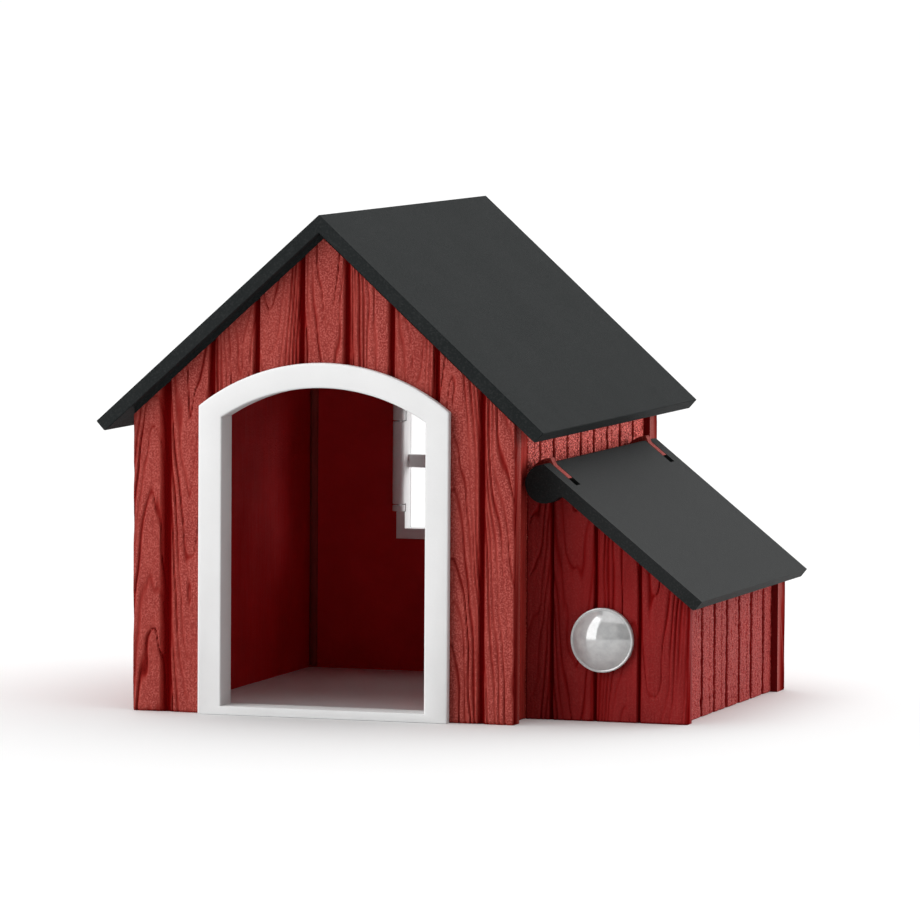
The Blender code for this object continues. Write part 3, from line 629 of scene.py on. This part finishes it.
def add_walls(plank_red, painted_light_side_red, side_red, painted_shade_store_red):
    """The seven carved walls. The right wall, which shows between eave and lid, takes a lighter and greyer
    copy of the red: painted light.
    """
    widths = [CORNER_GROOVE_WIDTHS] + [GROOVE_WIDTHS] * (len(GROOVES) - 1)
    carved_wall(
        "front_wall", gable_outline(), [doorway_outline()],
        lambda a, d, b: place((a, d, b)), FRONT_THICKNESS,
        lambda a, b: plank_relief(a, b, GROOVES, widths, 21), (0.25 * MM, 0.50 * MM),
        plank_red,
    )
    carved_wall(
        "back_wall", gable_outline(), [window_outline()],
        lambda a, d, b: place((a, HOUSE_DEPTH - d, b)), HOUSE_DEPTH - INNER_BACK,
        lambda a, b: plank_relief(a, b, GROOVES, widths, 57), (0.28 * MM, 0.60 * MM),
        plank_red,
    )

    low = FRONT_THICKNESS - LET_IN
    high = INNER_BACK + LET_IN
    top = wall_top(SIDE_RECESS)
    outline = [(low, 0.0), (high, 0.0), (high, top), (low, top)]
    right_face = HOUSE_WIDTH - SIDE_RECESS
    # the strip between the front corner and the store front is smooth and takes painted shade
    smooth_shaded_end = STORE_FRONT + 0.5 * MM
    carved_wall(
        "left_wall", outline, [],
        lambda a, d, b: place((SIDE_RECESS + d, a, b)), SIDE_THICKNESS,
        lambda a, b: stippled_relief(a, b, SIDE_GROOVES, 83), (0.24 * MM, 0.34 * MM),
        side_red, STIPPLE_DEPTH,
    )
    carved_wall(
        "right_wall", outline, [],
        lambda a, d, b: place((right_face - d, a, b)), SIDE_THICKNESS,
        lambda a, b: stippled_relief(a, b, SIDE_GROOVES, 91, smooth_shaded_end), (0.24 * MM, 0.34 * MM),
        painted_light_side_red, STIPPLE_DEPTH,
    )

    narrow = [NARROW_GROOVE_WIDTHS] * len(STORE_GROOVES)
    fibre_length = 6.0
    bore = arc((PORTHOLE.x, PORTHOLE.z), PORTHOLE_BORE, 0.0, 2.0 * math.pi, 48)[:-1]
    carved_wall(
        "store_front_wall", store_end_outline(), [bore],
        lambda a, d, b: place((a, STORE_FRONT + d, b)), STORE_FRONT_THICKNESS,
        lambda a, b: plank_relief(a, b, STORE_GROOVES, narrow, 33, fibre_length), (0.20 * MM, 0.45 * MM),
        painted_shade_store_red,
    )
    carved_wall(
        "store_back_wall", store_end_outline(), [],
        lambda a, d, b: place((a, STORE_BACK - d, b)), STORE_BACK_THICKNESS,
        lambda a, b: plank_relief(a, b, STORE_GROOVES, narrow, 71, fibre_length), (0.25 * MM, 0.50 * MM),
        plank_red,
    )

    low = STORE_FRONT + STORE_FRONT_THICKNESS - LET_IN
    high = STORE_BACK - STORE_BACK_THICKNESS + LET_IN
    store_face = STORE_RIGHT - SIDE_RECESS
    top = store_top(store_face) - JUST_INSIDE
    carved_wall(
        "store_side_wall", [(low, 0.0), (high, 0.0), (high, top), (low, top)], [],
        lambda a, d, b: place((store_face - d, a, b)), STORE_SIDE_THICKNESS,
        lambda a, b: stippled_relief(a, b, STORE_SIDE_GROOVES, 45), (0.20 * MM, 0.25 * MM),
        side_red, STIPPLE_DEPTH,
    )


def add_lens(material):
    """A shallow dome inside a narrow raised rim, on its spigot."""
    rim_face = STORE_FRONT - 1.2 * MM
    rim_radius = 6.85 * MM
    rim_round = 0.25 * MM
    dome_foot = rim_face + 0.1 * MM
    dome_radius = 6.35 * MM
    rise = 2.7 * MM
    spigot_radius = 5.5 * MM
    spigot_end = STORE_FRONT + 5.6 * MM
    dome_steps = 24
    steps = 96
    sphere = (dome_radius**2 + rise**2) / (2.0 * rise)
    reach = math.asin(dome_radius / sphere)
    profile = []
    for step in range(1, dome_steps + 1):
        turn = reach * step / dome_steps
        profile.append((sphere * math.sin(turn), dome_foot - rise + sphere * (1.0 - math.cos(turn))))
    profile += arc((rim_radius - rim_round, rim_face + rim_round), -rim_round, math.pi / 3, math.pi, 8)
    profile.append((rim_radius, STORE_FRONT - 0.05 * MM))
    profile += [(spigot_radius, STORE_FRONT), (spigot_radius, spigot_end)]
    shape = bmesh.new()
    turns = [2.0 * math.pi * step / steps for step in range(steps)]
    rings = []
    for out, y in profile:
        points = [(PORTHOLE.x + out * math.cos(turn), y, PORTHOLE.z + out * math.sin(turn)) for turn in turns]
        rings.append([shape.verts.new(place(point)) for point in points])
    tip = shape.verts.new(place((PORTHOLE.x, dome_foot - rise, PORTHOLE.z)))
    for step in range(steps):
        after = (step + 1) % steps
        shape.faces.new((tip, rings[0][step], rings[0][after]))
        for near, far in zip(rings, rings[1:]):
            shape.faces.new((near[step], near[after], far[after], far[step]))
    shape.faces.new(rings[-1])
    bmesh.ops.recalc_face_normals(shape, faces=shape.faces)
    mesh = bpy.data.meshes.new("porthole_lens_piece")
    shape.to_mesh(mesh)
    shape.free()
    new_piece("porthole_lens_dome", mesh, "hutch", "porthole_lens", material)


def rounded_corners(stations, radius, steps=4):
    """Rounds the corners of a closed profile, whose stations' first and last values are its plan."""
    rounded = []
    for index, corner in enumerate(stations):
        ends = []
        for other in (stations[index - 1], stations[(index + 1) % len(stations)]):
            reach = math.hypot(other[0] - corner[0], other[-1] - corner[-1])
            ends.append(corner + (other - corner) * min(radius / reach, 0.49))
        for step in range(steps + 1):
            share = step / steps
            rounded.append(ends[0] * (1 - share) ** 2 + 2 * corner * share * (1 - share) + ends[1] * share**2)
    return rounded


def doorway_loop(half_width, spring, apex, bottom, y):
    foot = [(DOOR_MIDDLE - half_width, bottom), (DOOR_MIDDLE + half_width, bottom)]
    return [place((x, y, z)) for x, z in foot + door_head(half_width, spring, apex, 48)]


def add_door_frame(material):
    """Flange on the wall and sleeve through it, with softly rounded edges."""
    # half width, height of the arch's spring, of its apex and of the foot, in millimetres
    flange = (27.85, 65.6, 75.3, 0.0)
    sleeve = (24.05, 64.1, 71.4, 0.4)
    inside = (22.65, 63.3, 70.0, 1.9)
    face, wall, end = (-1.9, -0.05, 5.1)
    stations = [(*flange, face), (*flange, wall), (*sleeve, wall)]
    stations += [(*sleeve, end), (*inside, end), (*inside, face)]
    stations = rounded_corners([np.array(station) * MM for station in stations], 0.45 * MM)
    shape = bmesh.new()
    rings = [[shape.verts.new(point) for point in doorway_loop(*station)] for station in stations]
    for near, far in zip(rings, rings[1:] + rings[:1]):
        for index in range(len(near)):
            after = (index + 1) % len(near)
            shape.faces.new((near[index], near[after], far[after], far[index]))
    bmesh.ops.recalc_face_normals(shape, faces=shape.faces)
    mesh = bpy.data.meshes.new("door_frame_piece")
    shape.to_mesh(mesh)
    shape.free()
    new_piece("door_frame_moulded", mesh, "hutch", "door_frame", material)


def add_mouldings():
    """The smooth parts: the frame's own solids with rounded edges, and the door frame."""
    black = black_plastic("charcoal_plastic", 0.92, 0.025)
    # the lid's charcoal: a darker copy of the roof's, painted shade for the lid's front end in the corner by
    # the house
    shaded_lid_black = black_plastic("charcoal_lid_painted_shade_plastic", 0.70, 0.085)
    white = white_plastic("white_plastic", 0.605)
    # the window's white: a lighter copy of the same plastic, painted light on its parts that face the dim
    # interior
    lit_window_white = white_plastic("white_window_painted_light_plastic", 0.84)
    metal = steel("plated_steel")
    red = red_plastic("red_trim_plastic", 0.3)
    rounded_copy("roof", "hutch", black, 0.62 * MM, 4)
    rounded_copy("store_lid", "lid", shaded_lid_black, 0.42 * MM, 4)
    add_door_frame(white)
    rounded_copy("window_frame", "hutch", lit_window_white, 0.22 * MM)
    rounded_copy("window_sash", "sash", lit_window_white, 0.20 * MM)
    rounded_copy("window_pin", "hutch", metal, 0.08 * MM)
    for end in ("front", "back"):
        rounded_copy(f"lid_hook_{end}", "hutch", red, 0.22 * MM)
        rounded_copy(f"roof_rib_{end}", "hutch", black, 0.20 * MM)
        for side in ("left", "right"):
            rounded_copy(f"roof_screw_{end}_{side}", "hutch", metal, 0.12 * MM)
    rounded_copy("store_floor", "hutch", red, 0.20 * MM)
    rounded_copy("porthole_retainer", "hutch", black, 0.20 * MM)


# ---------------------------------------------------------------------------
# Studio


def add_studio():
    """A plain pale floor, two softboxes and a wide overhead light."""
    floor = add_floor()
    flagged = bpy.data.collections.new("flagged_off_the_floor")  # the softboxes light all but this
    flagged.objects.link(floor)
    flagged.collection_objects[0].light_linking.link_state = "EXCLUDE"
    add_world()
    add_softbox("left_box", *LEFT_BOX, flagged)
    add_softbox("right_box", *RIGHT_BOX, flagged)
    add_sun("top_light", *TOP_LIGHT)


def add_floor():
    mesh = bpy.data.meshes.new("floor")
    corners = [(x * TABLE_REACH, y * TABLE_REACH, 0) for x, y in ((-1, -1), (1, -1), (1, 1), (-1, 1))]
    mesh.from_pydata(corners, [], [(0, 1, 2, 3)])
    nodes = Nodes("floor_white")
    nodes.shader.inputs["Base Color"].default_value = TABLE_WHITE
    nodes.shader.inputs["Roughness"].default_value = 0.9
    nodes.shader.inputs["Specular IOR Level"].default_value = 0.0
    mesh.materials.append(nodes.material)
    floor = helper_object("floor", mesh)
    return floor


def add_world():
    """A dim white sky, which is bright where it is the background."""
    world = bpy.data.worlds.new("studio")
    bpy.context.scene.world = world
    world.use_nodes = True
    tree = world.node_tree
    tree.nodes["Background"].inputs["Color"].default_value = (1.0, 1.0, 1.0, 1.0)
    seen = tree.nodes.new("ShaderNodeLightPath")
    strength = tree.nodes.new("ShaderNodeMapRange")
    tree.links.new(seen.outputs["Is Camera Ray"], strength.inputs["Value"])
    strength.inputs["To Min"].default_value = SKY
    strength.inputs["To Max"].default_value = BACKGROUND
    tree.links.new(strength.outputs["Result"], tree.nodes["Background"].inputs["Strength"])


def aimed_object(name, data, towards):
    """A lamp or camera whose back points towards a direction."""
    item = bpy.data.objects.new(name, data)
    bpy.context.scene.collection.objects.link(item)
    item.rotation_mode = "QUATERNION"
    item.rotation_quaternion = Vector(towards).to_track_quat("Z", "Y")
    return item


def add_sun(name, towards, strength, spread):
    data = bpy.data.lights.new(name, "SUN")
    data.energy = strength
    data.angle = math.radians(spread)
    aimed_object(name, data, towards)


def add_softbox(name, location, size, power, flagged):
    """An upright area light that faces the middle."""
    data = bpy.data.lights.new(name, "AREA")
    data.shape = "RECTANGLE"
    data.size, data.size_y = size
    data.energy = power
    lamp = aimed_object(name, data, (location[0], location[1], 0.0))
    lamp.location = location
    lamp.light_linking.receiver_collection = flagged


def add_camera():
    """A long lens, a little to the right of the front and a little above it."""
    azimuth, elevation, roll = (math.radians(angle) for angle in CAMERA_ANGLES)
    back = Vector((math.sin(azimuth) * math.cos(elevation), -math.cos(azimuth) * math.cos(elevation),
                   math.sin(elevation)))
    data = bpy.data.cameras.new("camera")
    data.lens = CAMERA_LENS
    data.sensor_width = 36.0
    data.clip_start = 0.1
    data.clip_end = 100.0
    camera = aimed_object("camera", data, back)
    camera.rotation_quaternion = camera.rotation_quaternion @ Matrix.Rotation(roll, 3, "Z").to_quaternion()
    camera.location = place(CAMERA_TARGET) + back * CAMERA_DISTANCE
    bpy.context.scene.camera = camera


bpy.context.scene.view_settings.view_transform = "Standard"
add_studio()
add_camera()
add_walls(
    plank_red=red_plastic("red_plank_plastic", 0.55, 1.15, 1.06),
    # the right wall's red: a lighter, greyer copy of the same plastic, painted light on the wall above the
    # lid
    painted_light_side_red=red_plastic("red_side_painted_light_plastic", 1.0, 1.7, 2.2),
    side_red=red_plastic("red_store_side_plastic", 0.70, 0.0, 1.0),
    # the store front's red: a darker copy without sheen or specks, painted shade from the house beside it
    painted_shade_store_red=red_plastic("red_store_painted_shade_plastic", 0.12, 0.0, 0.76),
)
add_corner_beads(red_plastic("red_inner_plastic", 0.0))
add_mouldings()
add_lens(milky_plastic("milky_plastic"))
